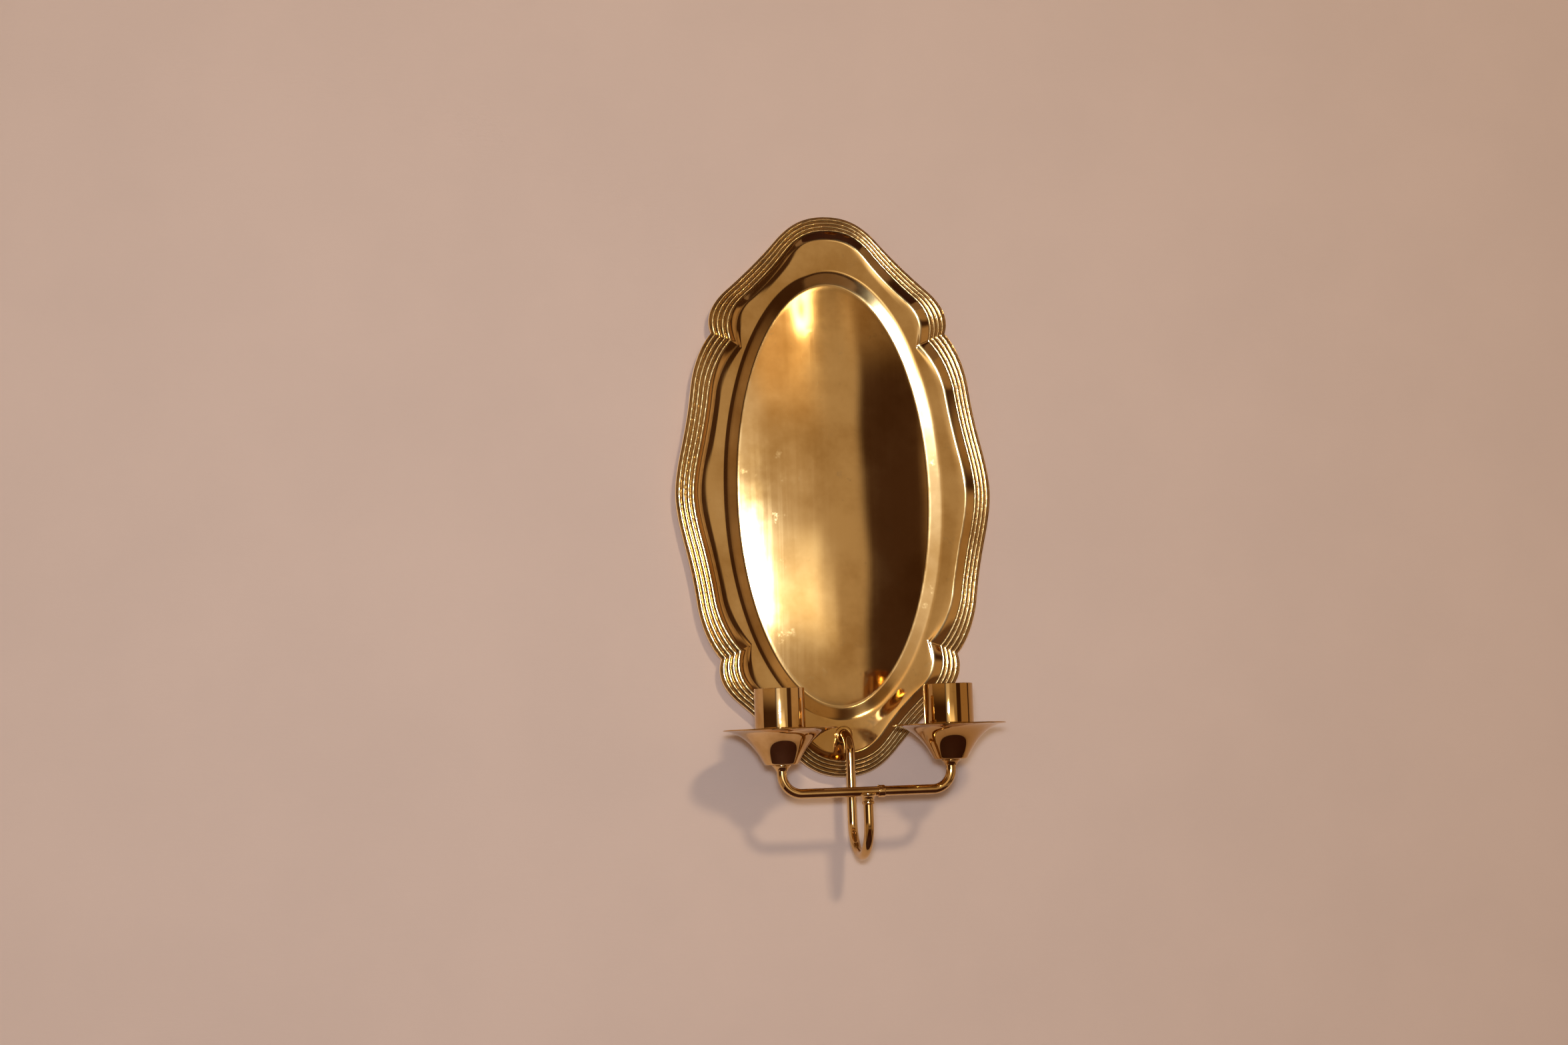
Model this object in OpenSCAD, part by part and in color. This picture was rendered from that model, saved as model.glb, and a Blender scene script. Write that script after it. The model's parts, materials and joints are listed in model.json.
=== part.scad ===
// Wall sconce for two candles, in polished brass: a pressed shield-shaped back plate with
// a reeded rim and a domed oval, a U-shaped arm, and a crossbar with two candle holders.
// Millimetres, +Z up. The front faces -Y and the wall is the plane y = 0.
// The origin is the centre of the hanging eye, where it touches the wall.

/* [Back plate] */
// Height of the plate
plate_h = 298; // [290:1:306]
// Width of the plate
plate_w = 171.2; // [166:0.2:178]
// Thickness of the brass sheet
sheet_t = 0.9; // [0.7:0.1:1.1]
// How far the crest of the reeded rim stands in front of the ledge inside it
rim_rise = 4.1; // [3.5:0.1:4.5]
// How far the middle of the oval stands in front of the crease around it
dome_rise = 6.2; // [5:0.1:7]
// Distance from the wall to the front of the flat ledge
ledge_front = 7.4; // [7.2:0.1:8]
// Height of each reed above the grooves beside it
reed_rise = 0.7; // [0.4:0.1:0.9]

/* [Hanging eye] */
// Height of the eye above the middle of the plate
eye_h = 121; // [120:0.5:122]
// Diameter of the eye
eye_d = 5.5; // [4:0.1:6]
// Thickness of the strap that holds the eye
strap_t = 1.2; // [1:0.1:1.5]

/* [Arm] */
// Diameter of the brass rod of the arm and the crossbar
rod_d = 5; // [4.6:0.1:5.2]
// Distance of the arm's root below the middle of the plate
root_drop = 127; // [126:0.5:130]
// Distance from the wall to the arm's back leg
back_leg_y = 20; // [19:0.5:22]
// Distance from the wall to the arm's front leg and the crossbar
reach = 54; // [52:0.5:58]
// Distance of the arm's lowest centre line below the middle of the plate
arm_drop = 189; // [186:0.5:192]
// Radius of the bend beside the arm's root
root_bend_r = 10.5; // [9:0.5:10.5]

/* [Crossbar] */
// Distance of the crossbar below the middle of the plate
bar_drop = 156.5; // [155:0.5:158]
// Distance between the two candles
candle_span = 88.4; // [84:0.2:92]
// Radius of the upward bend at each end
bar_bend_r = 10; // [8:0.5:10.5]

/* [Candle holders] */
// Outer diameter of the candle cup
cup_d = 25.4; // [25:0.1:26]
// Thickness of the cup's wall
cup_wall = 0.9; // [0.7:0.1:1.2]
// How far the cup stands above the rim of its drip pan
cup_above_pan = 21; // [18:0.5:24]
// Diameter of the drip pan
pan_d = 58; // [56:0.5:60]
// Height of the drip pan
pan_h = 17.4; // [17:0.2:18]
// Diameter of the drip pan's foot
pan_foot_d = 16.8; // [16:0.1:17.4]
// Thickness of the drip pan's sheet
pan_t = 0.9; // [0.7:0.1:1]

/* [Hidden] */
$fn = 64;

brass = [0.83, 0.62, 0.30];
dark_brass = [0.66, 0.46, 0.20];

// Clearances: round a turning fit, and between faces that slide on each other.
fit_gap = 0.05;
face_gap = 0.05;
// How far a cutting shape runs past the face that it cuts.
cut = 1;

// Back plate. Outlines run from the top of the plate to the widest point at its side, as
// cubic curves that share their end points. They are drawn for this height and width.
drawn_h = 298;
drawn_w = 171.2;
outer_curve = [
    [0, 149], [14, 149], [21.5, 143], [29, 134.5],
    [37, 125.5], [45, 118], [53.5, 110.5],
    [61.5, 104], [67.5, 96], [64, 86],
    [69, 80.5], [74, 70], [75.8, 57],
    [77.2, 46], [78.3, 40], [81, 28],
    [83.6, 17.5], [85.6, 8], [85.6, 0]
];
foot_curve = [
    [0, 136.5], [11, 136.5], [16.5, 132], [21, 126],
    [27, 118], [34, 110.5], [42, 103.5],
    [47.5, 99], [52, 91.5], [48.5, 79.5],
    [53.5, 74.5], [59.5, 66], [61.8, 55],
    [63.4, 44.5], [64.8, 37], [67.2, 26],
    [69.6, 16], [71.4, 8], [71.4, 0]
];
curve_steps = 4;
curve_count = 6;
// Half axes of the ring where the ledge ends, and of the crease inside it.
ring_axes = [60.5, 121];
crease_axes = [52, 112.7];
crease_depth = 2.1;
lip_turn = 2;
outer_rise = 1.3;
reed_count = 4;
// Where the reeded band starts and ends, from 0 at the outer edge to 1 at the ledge.
band_start = 0.03;
band_end = 0.69;

plate_mid = -eye_h;
root_z = plate_mid - root_drop;
ledge_back = ledge_front - sheet_t;

// Hanging strap.
strap_half_w = 15;
strap_foot = 7;
strap_foot_h = 6;
eye_disc_d = 15;

// Arm.
rod_r = rod_d / 2;
bar_z = plate_mid - bar_drop;
u_r = (reach - back_leg_y) / 2;
u_z = plate_mid - arm_drop + u_r;
stud_end_y = 0.6;
collar_t = 1.8;
collar_r = 4.5;
washer_t = 1;
washer_r = 5.5;
nut_t = 3.2;
nut_flats = 8;
spigot_r = 1.6;
spigot_rise = 1;
ring_t = 1.5;
ring_r = 3.2;

// Saddle boss between the arm and the crossbar.
boss_low = 4.9;
boss_high = 0.6;
boss_low_r = 3.4;
boss_high_r = 5.2;
boss_gap_z = bar_z - boss_low - face_gap;
sleeve_x = 7;
sleeve_w = 3.4;
sleeve_r = rod_r + 0.6;

// Candle holders, measured upwards from the drip pan's foot.
pan_z = plate_mid - 141.6;
rod_collar_h = 3.2;
rod_collar_low_r = 3;
rod_collar_r = 4.75;
screw_r = 1.5;
screw_depth = 5.8;
cup_r = cup_d / 2;
cup_floor_h = 9.6;
cup_floor_t = 1;
cup_corner_w = 2;
cup_corner_h = 3.2;
cup_h = pan_h + cup_above_pan - cup_floor_h;
cup_washer_t = 0.6;
cup_washer_r = 4.2;
screw_head_r = 3;
screw_head_h = 2;
screw_slot_w = 0.8;
spacer_r = 3.5;
pan_curve_steps = 14;

// ---------- curves ----------

function bezier(p, t) =
    pow(1 - t, 3) * p[0] + 3 * t * pow(1 - t, 2) * p[1]
    + 3 * t * t * (1 - t) * p[2] + pow(t, 3) * p[3];

// Points of a chain of cubic curves, with both end points.
function chain(c) = concat(
    [for (k = [0 : curve_count - 1], j = [0 : curve_steps - 1])
        bezier([for (m = [0 : 3]) c[3 * k + m]], j / curve_steps)],
    [c[3 * curve_count]]
);

// Scales a drawn point to the plate's height and width.
function sized(p) = [p[0] * plate_w / drawn_w, p[1] * plate_h / drawn_h];

quarter_n = curve_count * curve_steps;

// Mirrors a quarter outline into a closed one.
function closed(q) = concat(
    [for (i = [0 : quarter_n - 1]) q[i]],
    [for (i = [quarter_n : -1 : 1]) [q[i][0], -q[i][1]]],
    [for (i = [0 : quarter_n - 1]) [-q[i][0], -q[i][1]]],
    [for (i = [quarter_n : -1 : 1]) [-q[i][0], q[i][1]]]
);

outer = [for (p = closed(chain(outer_curve))) sized(p)];
foot = [for (p = closed(chain(foot_curve))) sized(p)];
loop_n = len(outer);

// A loop between the outer edge (s = 0) and the foot of the rim's inner wall (s = 1), at
// the distance d from the wall.
function band_loop(s, d) =
    [for (i = [0 : loop_n - 1])
        [outer[i][0] + s * (foot[i][0] - outer[i][0]), -d,
         outer[i][1] + s * (foot[i][1] - outer[i][1])]];

// An oval loop whose points lie on the same rays as those of the rim.
function oval_loop(axes, d, k = 1) =
    [for (i = [0 : loop_n - 1])
        let (a = sized(axes), turn = atan2(foot[i][1] / a[1], foot[i][0] / a[0]))
        [k * a[0] * cos(turn), -d, k * a[1] * sin(turn)]];

crest = ledge_front + rim_rise;
edge_front = ledge_front + outer_rise;
crease_front = ledge_front - crease_depth;
dome_steps = [0.8, 0.55, 0.3];

function dome_front(k) = crease_front + dome_rise * (1 - k * k);

// Front of the reeded band: grooves and reeds in turn, climbing to the crest.
function band_front(s) = edge_front + (crest - edge_front) * (s - band_start) / (band_end - band_start);

front_loops = concat(
    [band_loop(0, edge_front - lip_turn), band_loop(0, edge_front - 0.4)],
    [for (i = [0 : 2 * reed_count])
        let (s = band_start + (band_end - band_start) * i / (2 * reed_count))
        band_loop(s, band_front(s) - (i % 2 == 0 ? reed_rise : 0))],
    [band_loop(0.82, ledge_front + 0.45 * rim_rise), band_loop(0.92, ledge_front + 0.12 * rim_rise),
     band_loop(1, ledge_front), oval_loop(ring_axes, ledge_front), oval_loop(crease_axes, crease_front)],
    [for (k = dome_steps) oval_loop(crease_axes, dome_front(k), k)]
);

back_loops = concat(
    [for (i = [len(dome_steps) - 1 : -1 : 0])
        oval_loop(crease_axes, dome_front(dome_steps[i]) - sheet_t, dome_steps[i])],
    [oval_loop(crease_axes, crease_front - sheet_t), oval_loop(ring_axes, ledge_back),
     band_loop(1, ledge_back), band_loop(0.84, ledge_back + 0.35 * rim_rise),
     band_loop(band_end, crest - reed_rise - sheet_t),
     band_loop(0.1, band_front(0.1) - reed_rise - sheet_t),
     band_loop(0.08, edge_front - lip_turn)]
);

// ---------- general shapes ----------

// A closed skin over the loops in order. Its two ends are closed by a fan each.
module skin(loops, first, last) {
    n = loop_n;
    count = len(loops);
    points = concat([for (l = loops, p = l) p], [first, last]);
    walls = [for (k = [0 : count - 2], i = [0 : n - 1])
        let (a = k * n + i, b = k * n + (i + 1) % n)
        each [[a, b, b + n], [a, b + n, a + n]]];
    start_fan = [for (i = [0 : n - 1]) [count * n, (i + 1) % n, i]];
    end_row = (count - 1) * n;
    end_fan = [for (i = [0 : n - 1]) [count * n + 1, end_row + i, end_row + (i + 1) % n]];
    polyhedron(points, concat(walls, start_fan, end_fan));
}

// A cylinder along +Y from y0 to y1.
module y_rod(r, y0, y1) {
    translate([0, y0, 0])
        rotate([-90, 0, 0])
            cylinder(r = r, h = y1 - y0);
}

// Part of a torus of rod thickness in the YZ plane, from angle a to b, where 0 points
// along +Y and 90 along +Z.
module yz_bend(r, a, b) {
    rotate([90, 0, 90])
        rotate([0, 0, a])
            rotate_extrude(angle = b - a)
                translate([r, 0])
                    circle(r = rod_r);
}

// A flat ring.
module ring(outer_r, inner_r, h) {
    difference() {
        cylinder(r = outer_r, h = h);
        translate([0, 0, -cut])
            cylinder(r = inner_r, h = h + 2 * cut);
    }
}

// Places a holder's piece over its end of the crossbar, at the foot of the drip pan.
module at_holder(side) {
    translate([side * candle_span / 2, -reach, pan_z])
        children();
}

// ---------- back plate and its fastenings ----------

// Pressed sheet: a turned lip, four reeds, an inner wall, a flat ledge and a domed oval.
module back_plate() {
    color(brass)
        difference() {
            translate([0, 0, plate_mid])
                skin(
                    concat([for (i = [len(front_loops) - 1 : -1 : 0]) front_loops[i]],
                           [for (i = [len(back_loops) - 1 : -1 : 0]) back_loops[i]]),
                    [0, -dome_front(0), 0],
                    [0, -(dome_front(0) - sheet_t), 0]
                );
            translate([0, 0, root_z])
                y_rod(rod_r, -ledge_front - cut, -ledge_back + cut);
        }
}

// Bridge of sheet brass soldered behind the top of the plate, with the hanging eye.
module hanging_strap() {
    color(dark_brass)
        difference() {
            union() {
                for (side = [-1, 1]) {
                    translate([side * (strap_half_w + strap_foot / 2), -ledge_back + strap_t / 2, 0])
                        cube([strap_foot, strap_t, strap_foot_h], center = true);
                    translate([side * (strap_half_w - strap_t / 2), -ledge_back / 2, 0])
                        cube([strap_t, ledge_back, strap_foot_h], center = true);
                }
                translate([0, -strap_t / 2, 0])
                    cube([2 * strap_half_w, strap_t, strap_foot_h], center = true);
                y_rod(eye_disc_d / 2, -strap_t, 0);
            }
            y_rod(eye_d / 2, -strap_t - cut, cut);
        }
}

// Bent rod: the root stud, the bend down, the back leg, the U and the front leg, which
// ends in a thinner spigot for the crossbar.
module arm_rod() {
    shoulder_z = boss_gap_z - ring_t;
    color(brass) {
        translate([0, 0, root_z])
            y_rod(rod_r, -(back_leg_y - root_bend_r), -stud_end_y);
        translate([0, -(back_leg_y - root_bend_r), root_z - root_bend_r])
            yz_bend(root_bend_r, 90, 180);
        translate([0, -back_leg_y, u_z])
            cylinder(r = rod_r, h = root_z - root_bend_r - u_z);
        translate([0, -(back_leg_y + u_r), u_z])
            yz_bend(u_r, 180, 360);
        translate([0, -reach, u_z])
            cylinder(r = rod_r, h = shoulder_z - u_z);
        translate([0, -reach, shoulder_z])
            cylinder(r = spigot_r, h = bar_z + spigot_rise - shoulder_z);
    }
}

// Collar on the rod that bears on the front of the plate.
module arm_collar() {
    color(brass)
        translate([0, -ledge_front, root_z])
            rotate([90, 0, 0])
                ring(collar_r, rod_r, collar_t);
}

module root_washer() {
    color(dark_brass)
        translate([0, -ledge_back + washer_t, root_z])
            rotate([90, 0, 0])
                ring(washer_r, rod_r, washer_t);
}

module root_nut() {
    color(dark_brass)
        translate([0, -ledge_back + washer_t + nut_t, root_z])
            rotate([90, 0, 0])
                difference() {
                    cylinder(r = nut_flats / 2 / cos(30), h = nut_t, $fn = 6);
                    translate([0, 0, -cut])
                        cylinder(r = rod_r, h = nut_t + 2 * cut);
                }
}

// Ring on the arm's spigot, under the saddle boss.
module lock_ring() {
    color(brass)
        translate([0, -reach, boss_gap_z - ring_t])
            ring(ring_r, spigot_r, ring_t);
}

// ---------- crossbar ----------

// Conical boss that the bar lies in and the arm's spigot runs through.
module saddle_boss() {
    color(brass)
        translate([0, -reach, bar_z])
            difference() {
                translate([0, 0, -boss_low])
                    cylinder(r1 = boss_low_r, r2 = boss_high_r, h = boss_low - boss_high);
                rotate([0, 90, 0])
                    cylinder(r = rod_r, h = 4 * boss_high_r, center = true);
                translate([0, 0, -boss_low - cut])
                    cylinder(r = spigot_r + fit_gap, h = boss_low);
            }
}

// Straight rod whose ends bend up. Each end is tapped for a cup screw, and the middle is
// drilled from below for the arm's spigot.
module crossbar_rod() {
    straight = candle_span / 2 - bar_bend_r;
    color(brass)
        translate([0, -reach, bar_z])
            difference() {
                union() {
                    rotate([0, 90, 0])
                        cylinder(r = rod_r, h = 2 * straight, center = true);
                    for (side = [0, 1])
                        mirror([side, 0, 0]) {
                            translate([straight, 0, bar_bend_r])
                                rotate([90, 0, 0])
                                    rotate([0, 0, -90])
                                        rotate_extrude(angle = 90)
                                            translate([bar_bend_r, 0])
                                                circle(r = rod_r);
                            translate([candle_span / 2, 0, bar_bend_r])
                                cylinder(r = rod_r, h = pan_z - face_gap - bar_z - bar_bend_r);
                        }
                }
                for (side = [-1, 1])
                    translate([side * candle_span / 2, 0, pan_z - screw_depth - bar_z])
                        cylinder(r = screw_r, h = screw_depth + cut);
                translate([0, 0, -rod_r - cut])
                    cylinder(r = spigot_r + fit_gap, h = rod_r + cut + spigot_rise + 4 * face_gap);
            }
}

// Narrow sleeve round the bar, beside the saddle boss.
module bar_sleeve() {
    color(brass)
        translate([sleeve_x - sleeve_w / 2, -reach, bar_z])
            rotate([0, 90, 0])
                ring(sleeve_r, rod_r, sleeve_w);
}

// ---------- candle holders ----------

// Tapered collar soldered round the end of the rod, under the drip pan.
module rod_collar(side) {
    color(brass)
        at_holder(side)
            translate([0, 0, -rod_collar_h - face_gap])
                difference() {
                    cylinder(r1 = rod_collar_low_r, r2 = rod_collar_r, h = rod_collar_h);
                    translate([0, 0, -cut])
                        cylinder(r = rod_r, h = rod_collar_h + 2 * cut);
                }
}

// Outside of the trumpet from its foot to its rim, as radius and height.
pan_curve = [[pan_foot_d / 2, 0], [10.8, 4.5], [17.5, pan_h - 0.6], [pan_d / 2, pan_h]];
pan_outside = [for (i = [0 : pan_curve_steps]) bezier(pan_curve, i / pan_curve_steps)];

// The inside face, one sheet thickness in along the outside's normal.
function pan_inner(i) =
    let (a = pan_outside[max(i - 1, 0)],
         b = pan_outside[min(i + 1, pan_curve_steps)],
         d = (b - a) / norm(b - a))
    pan_outside[i] + pan_t * [-d[1], d[0]];

// Trumpet-shaped dish of sheet brass, with a flat floor and a screw hole.
module drip_pan(side) {
    color(brass)
        at_holder(side)
            difference() {
                rotate_extrude()
                    polygon(concat(
                        [[0, 0]],
                        pan_outside,
                        [for (i = [pan_curve_steps : -1 : 2]) pan_inner(i)],
                        [[pan_foot_d / 2 - pan_t, pan_t], [0, pan_t]]
                    ));
                translate([0, 0, -cut])
                    cylinder(r = screw_r + fit_gap, h = pan_t + 2 * cut);
            }
}

// Tube that holds the cup's floor above the pan's floor.
module spacer(side) {
    color(dark_brass)
        at_holder(side)
            translate([0, 0, pan_t])
                ring(spacer_r, screw_r + fit_gap, cup_floor_h - pan_t);
}

// Plain straight cup for a candle, with a flat floor, a filled corner inside its foot and
// a screw hole. The candle stands on the corner, clear of the screw's head.
module candle_cup(side) {
    inner_r = cup_r - cup_wall;
    color(brass)
        at_holder(side)
            translate([0, 0, cup_floor_h])
                difference() {
                    cylinder(r = cup_r, h = cup_h);
                    translate([0, 0, cup_floor_t])
                        cylinder(r1 = inner_r - cup_corner_w, r2 = inner_r, h = cup_corner_h);
                    translate([0, 0, cup_floor_t + cup_corner_h])
                        cylinder(r = inner_r, h = cup_h);
                    translate([0, 0, -cut])
                        cylinder(r = screw_r + fit_gap, h = cup_floor_t + 2 * cut);
                }
}

module cup_washer(side) {
    color(dark_brass)
        at_holder(side)
            translate([0, 0, cup_floor_h + cup_floor_t])
                ring(cup_washer_r, screw_r + fit_gap, cup_washer_t);
}

// Slotted screw from the cup's floor down into the end of the crossbar.
module cup_screw(side) {
    head_z = cup_floor_h + cup_floor_t + cup_washer_t + face_gap;
    color(dark_brass)
        at_holder(side)
            difference() {
                union() {
                    translate([0, 0, -screw_depth])
                        cylinder(r = screw_r, h = screw_depth + head_z);
                    translate([0, 0, head_z])
                        cylinder(r = screw_head_r, h = screw_head_h);
                }
                translate([0, 0, head_z + screw_head_h])
                    cube([3 * screw_head_r, screw_slot_w, screw_head_h], center = true);
            }
}

back_plate();
hanging_strap();
arm_rod();
arm_collar();
root_washer();
root_nut();
lock_ring();
saddle_boss();
crossbar_rod();
bar_sleeve();
rod_collar(-1);  // left_rod_collar
drip_pan(-1);  // left_drip_pan
spacer(-1);  // left_spacer
candle_cup(-1);  // left_candle_cup
cup_washer(-1);  // left_cup_washer
cup_screw(-1);  // left_cup_screw
rod_collar(1);  // right_rod_collar
drip_pan(1);  // right_drip_pan
spacer(1);  // right_spacer
candle_cup(1);  // right_candle_cup
cup_washer(1);  // right_cup_washer
cup_screw(1);  // right_cup_screw
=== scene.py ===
"""Wall sconce for two candles, in polished brass.

Builds the finished pieces round the frame: a pressed back plate with a reeded rim, a bent
arm, a crossbar and two candle holders. Lengths are metres, and the front faces -Y.
"""

import json
import math

import bmesh
import bpy
from bpy.props import FloatProperty, FloatVectorProperty, IntProperty, PointerProperty
from mathutils import Matrix, Vector


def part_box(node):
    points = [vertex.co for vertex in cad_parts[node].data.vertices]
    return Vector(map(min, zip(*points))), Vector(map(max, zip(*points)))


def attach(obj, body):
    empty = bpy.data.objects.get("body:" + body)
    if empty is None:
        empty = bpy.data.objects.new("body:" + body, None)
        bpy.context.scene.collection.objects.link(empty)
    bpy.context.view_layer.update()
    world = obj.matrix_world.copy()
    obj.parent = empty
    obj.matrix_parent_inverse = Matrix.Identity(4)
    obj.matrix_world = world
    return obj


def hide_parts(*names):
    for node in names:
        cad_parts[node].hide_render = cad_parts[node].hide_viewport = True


bl_info = {
    "name": "Brass Wall Sconce",
    "version": (1, 0, 0),
    "blender": (4, 5, 0),
    "location": "View3D > Sidebar > Sconce",
    "description": "Builds a two-candle brass wall sconce piece by piece",
    "category": "Add Mesh",
}

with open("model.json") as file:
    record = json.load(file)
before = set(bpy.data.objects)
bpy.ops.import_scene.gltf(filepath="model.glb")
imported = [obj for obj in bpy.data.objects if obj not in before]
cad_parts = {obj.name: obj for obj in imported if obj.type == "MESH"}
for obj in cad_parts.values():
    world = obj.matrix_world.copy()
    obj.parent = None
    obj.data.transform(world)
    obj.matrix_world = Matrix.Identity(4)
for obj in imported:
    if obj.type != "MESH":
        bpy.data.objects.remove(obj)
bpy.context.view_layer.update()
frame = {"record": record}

MM = 0.001
PLATE_BODY = "plate_and_arm"
BAR_BODY = "crossbar"
SIDES = ("left", "right")
# The finish that stands for each material slot.
FINISHES = {
    "plate_brass": "brushed plate brass",
    "rod_brass": "polished rod brass",
    "holder_brass": "mirror brass",
    "plain_brass": "tarnished brass",
}

# Outlines of the plate from its top to its widest point, as cubic curves that share their
# end points, in millimetres from the plate's middle, for the drawn width and height.
DRAWN_SIZE = (171.2, 298.0)
OUTER_CURVE = (
    (0, 149), (14, 149), (21.5, 143), (29, 134.5),
    (37, 125.5), (45, 118), (53.5, 110.5),
    (61.5, 104), (67.5, 96), (64, 86),
    (69, 80.5), (74, 70), (75.8, 57),
    (77.2, 46), (78.3, 40), (81, 28),
    (83.6, 17.5), (85.6, 8), (85.6, 0),
)
FOOT_CURVE = (
    (0, 136.5), (11, 136.5), (16.5, 132), (21, 126),
    (27, 118), (34, 110.5), (42, 103.5),
    (47.5, 99), (52, 91.5), (48.5, 79.5),
    (53.5, 74.5), (59.5, 66), (61.8, 55),
    (63.4, 44.5), (64.8, 37), (67.2, 26),
    (69.6, 16), (71.4, 8), (71.4, 0),
)


def middle(node):
    low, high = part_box(node)
    return (low + high) / 2


def size(node):
    low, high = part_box(node)
    return high - low


def foot_of(node):
    """The middle of a node's underside, and the node's size."""
    low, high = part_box(node)
    return Vector(((low.x + high.x) / 2, (low.y + high.y) / 2, low.z)), high - low


def mount_size(name, label):
    """A length that the frame gives for one of its mounts."""
    mount = next(m for m in frame["record"]["mounts"] if m["name"] == name)
    return mount["dims"][label] * MM


# ---------- settings ----------


def number(name, description, default, **options):
    """A number that is never below 0."""
    return FloatProperty(name=name, description=description, default=default, min=0.0, **options)


def length(name, description, default):
    """A length, in metres."""
    return number(name, description, default, unit="LENGTH", subtype="DISTANCE")


def colour(name, description, default):
    """A colour."""
    return FloatVectorProperty(
        name=name, description=description, default=default, min=0.0, max=1.0, size=3, subtype="COLOR"
    )


def share(name, description, default):
    """A share, from 0 to 1."""
    return number(name, description, default, max=1.0, subtype="FACTOR")


def whole(name, description, default, low, high):
    """A whole number between two limits."""
    return IntProperty(name=name, description=description, default=default, min=low, max=high)


def power(name, description, default):
    """The power of a lamp, in watts."""
    return number(name, description, default, unit="POWER")


class PlateSettings(bpy.types.PropertyGroup):
    sheet: length("Sheet", "Thickness of the pressed sheet", 0.9 * MM)
    rim_rise: length("Rim rise", "Height of the rim's crest above the ledge", 4.1 * MM)
    edge_rise: length("Edge rise", "Height of the outer edge above the ledge", 1.3 * MM)
    dome_rise: length("Dome rise", "Height of the oval's middle above its crease", 6.2 * MM)
    crease_depth: length("Crease depth", "Depth of the crease below the ledge", 2.1 * MM)
    reed_rise: length("Reed rise", "Height of each reed above its grooves", 0.7 * MM)
    lip_turn: length("Lip turn", "How far the outer edge is turned back", 2.0 * MM)
    waviness: length("Waviness", "Unevenness that pressing leaves in the flat parts", 0.11 * MM)
    reeds: whole("Reeds", "Number of reeds round the rim", 4, 1, 8)
    curve_steps: whole("Curve steps", "Points along each curve of the outline", 34, 4, 40)


class RodSettings(bpy.types.PropertyGroup):
    back_leg: length("Back leg", "Distance from the wall to the arm's back leg", 20 * MM)
    root_bend: length("Root bend", "Radius of the bend beside the root", 10.5 * MM)
    bar_bend: length("Bar bend", "Radius of the bend at each end of the crossbar", 10 * MM)
    spigot: length("Spigot", "Radius of the arm's thinner end", 1.6 * MM)
    facets: whole("Facets", "Points round the rod", 40, 12, 96)


class HolderSettings(bpy.types.PropertyGroup):
    cup_wall: length("Cup wall", "Thickness of the cup's wall", 0.9 * MM)
    cup_floor: length("Cup floor", "Thickness of the cup's floor", 1.0 * MM)
    pan_sheet: length("Pan sheet", "Thickness of the drip pan's sheet", 0.9 * MM)
    pan_foot: length("Pan foot", "Radius of the drip pan's foot", 8.4 * MM)
    screw_hole: length("Screw hole", "Radius of the hole for the cup screw", 1.55 * MM)
    slot_width: length("Slot width", "Width of the slot in the screw's head", 0.8 * MM)
    facets: whole("Facets", "Steps round a turned piece", 112, 24, 256)


class FinishSettings(bpy.types.PropertyGroup):
    bright: colour("Bright brass", "Colour of freshly polished brass", (0.80, 0.545, 0.24))
    mellow: colour("Mellow brass", "Colour of brass that has aged a little", (0.54, 0.315, 0.10))
    # The residue colour is also the colour of the painted shade on the reeds.
    residue: colour("Residue", "Colour of old polish left in the grooves", (0.16, 0.085, 0.03))
    ageing: share("Ageing", "How much of the brass has mellowed", 0.35)


class StageSettings(bpy.types.PropertyGroup):
    wall: colour("Wall", "Colour of the wall behind the sconce", (0.575, 0.432, 0.342))
    floor: colour("Floor", "Colour of the floor", (0.62, 0.55, 0.50))
    flash_power: power("Flash", "Power of the lamp beside the lens", 6.0)
    glint_power: power("Glints", "Power of the flash as the brass shows it", 36.0)
    ceiling_power: power("Ceiling lamp", "Power of the lamp above", 19.5)
    bulb_power: power("Bulb", "Power of the lamp above as the brass shows it", 8.0)
    room_light: number("Room light", "Strength of the room's own light", 1.0)


# ---------- modelling by hand ----------

# Points closer than this are one point, in a new mesh and in a mesh that was cut or joined.
SAME_POINT = 0.002 * MM
NEARLY_SAME = 0.01 * MM
# Steps round a profile's corner, and the most of a side that a corner may take up.
CORNER_STEPS = 4
CORNER_REACH = 0.45
# Creases flatter than this, in degrees, are shaded smooth.
SMOOTH = 35.0


def pick(piece):
    """Selects one piece and nothing else, and makes it the active one."""
    bpy.ops.object.select_all(action="DESELECT")
    piece.select_set(True)
    bpy.context.view_layer.objects.active = piece


def start(name, add, **options):
    """Adds a primitive with nothing else selected, names it and opens it in edit mode."""
    if bpy.context.object and bpy.context.object.mode != "OBJECT":
        bpy.ops.object.mode_set(mode="OBJECT")
    bpy.ops.object.select_all(action="DESELECT")
    add(**options)
    piece = bpy.context.object
    piece.name = name
    piece.data.name = name
    bpy.ops.object.mode_set(mode="EDIT")
    return piece


def close_up(piece, smooth=SMOOTH):
    """Merges doubles, turns every face outwards, and leaves the piece at the origin."""
    bpy.ops.mesh.select_all(action="SELECT")
    bpy.ops.mesh.remove_doubles(threshold=SAME_POINT)
    bpy.ops.mesh.normals_make_consistent(inside=False)
    bpy.ops.object.mode_set(mode="OBJECT")
    settle(piece, smooth)
    return piece


def settle(piece, smooth=SMOOTH):
    """Moves a piece's place into its mesh, and shades it smooth up to an angle."""
    pick(piece)
    bpy.ops.object.transform_apply(location=True, rotation=True, scale=True)
    bpy.ops.object.shade_smooth_by_angle(angle=math.radians(smooth))


def modified(piece, kind, **settings):
    """Adds a modifier with these settings to a piece, and applies it."""
    pick(piece)
    change = piece.modifiers.new(kind.lower(), kind)
    for key, value in settings.items():
        setattr(change, key, value)
    bpy.ops.object.modifier_apply(modifier=change.name)


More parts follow.
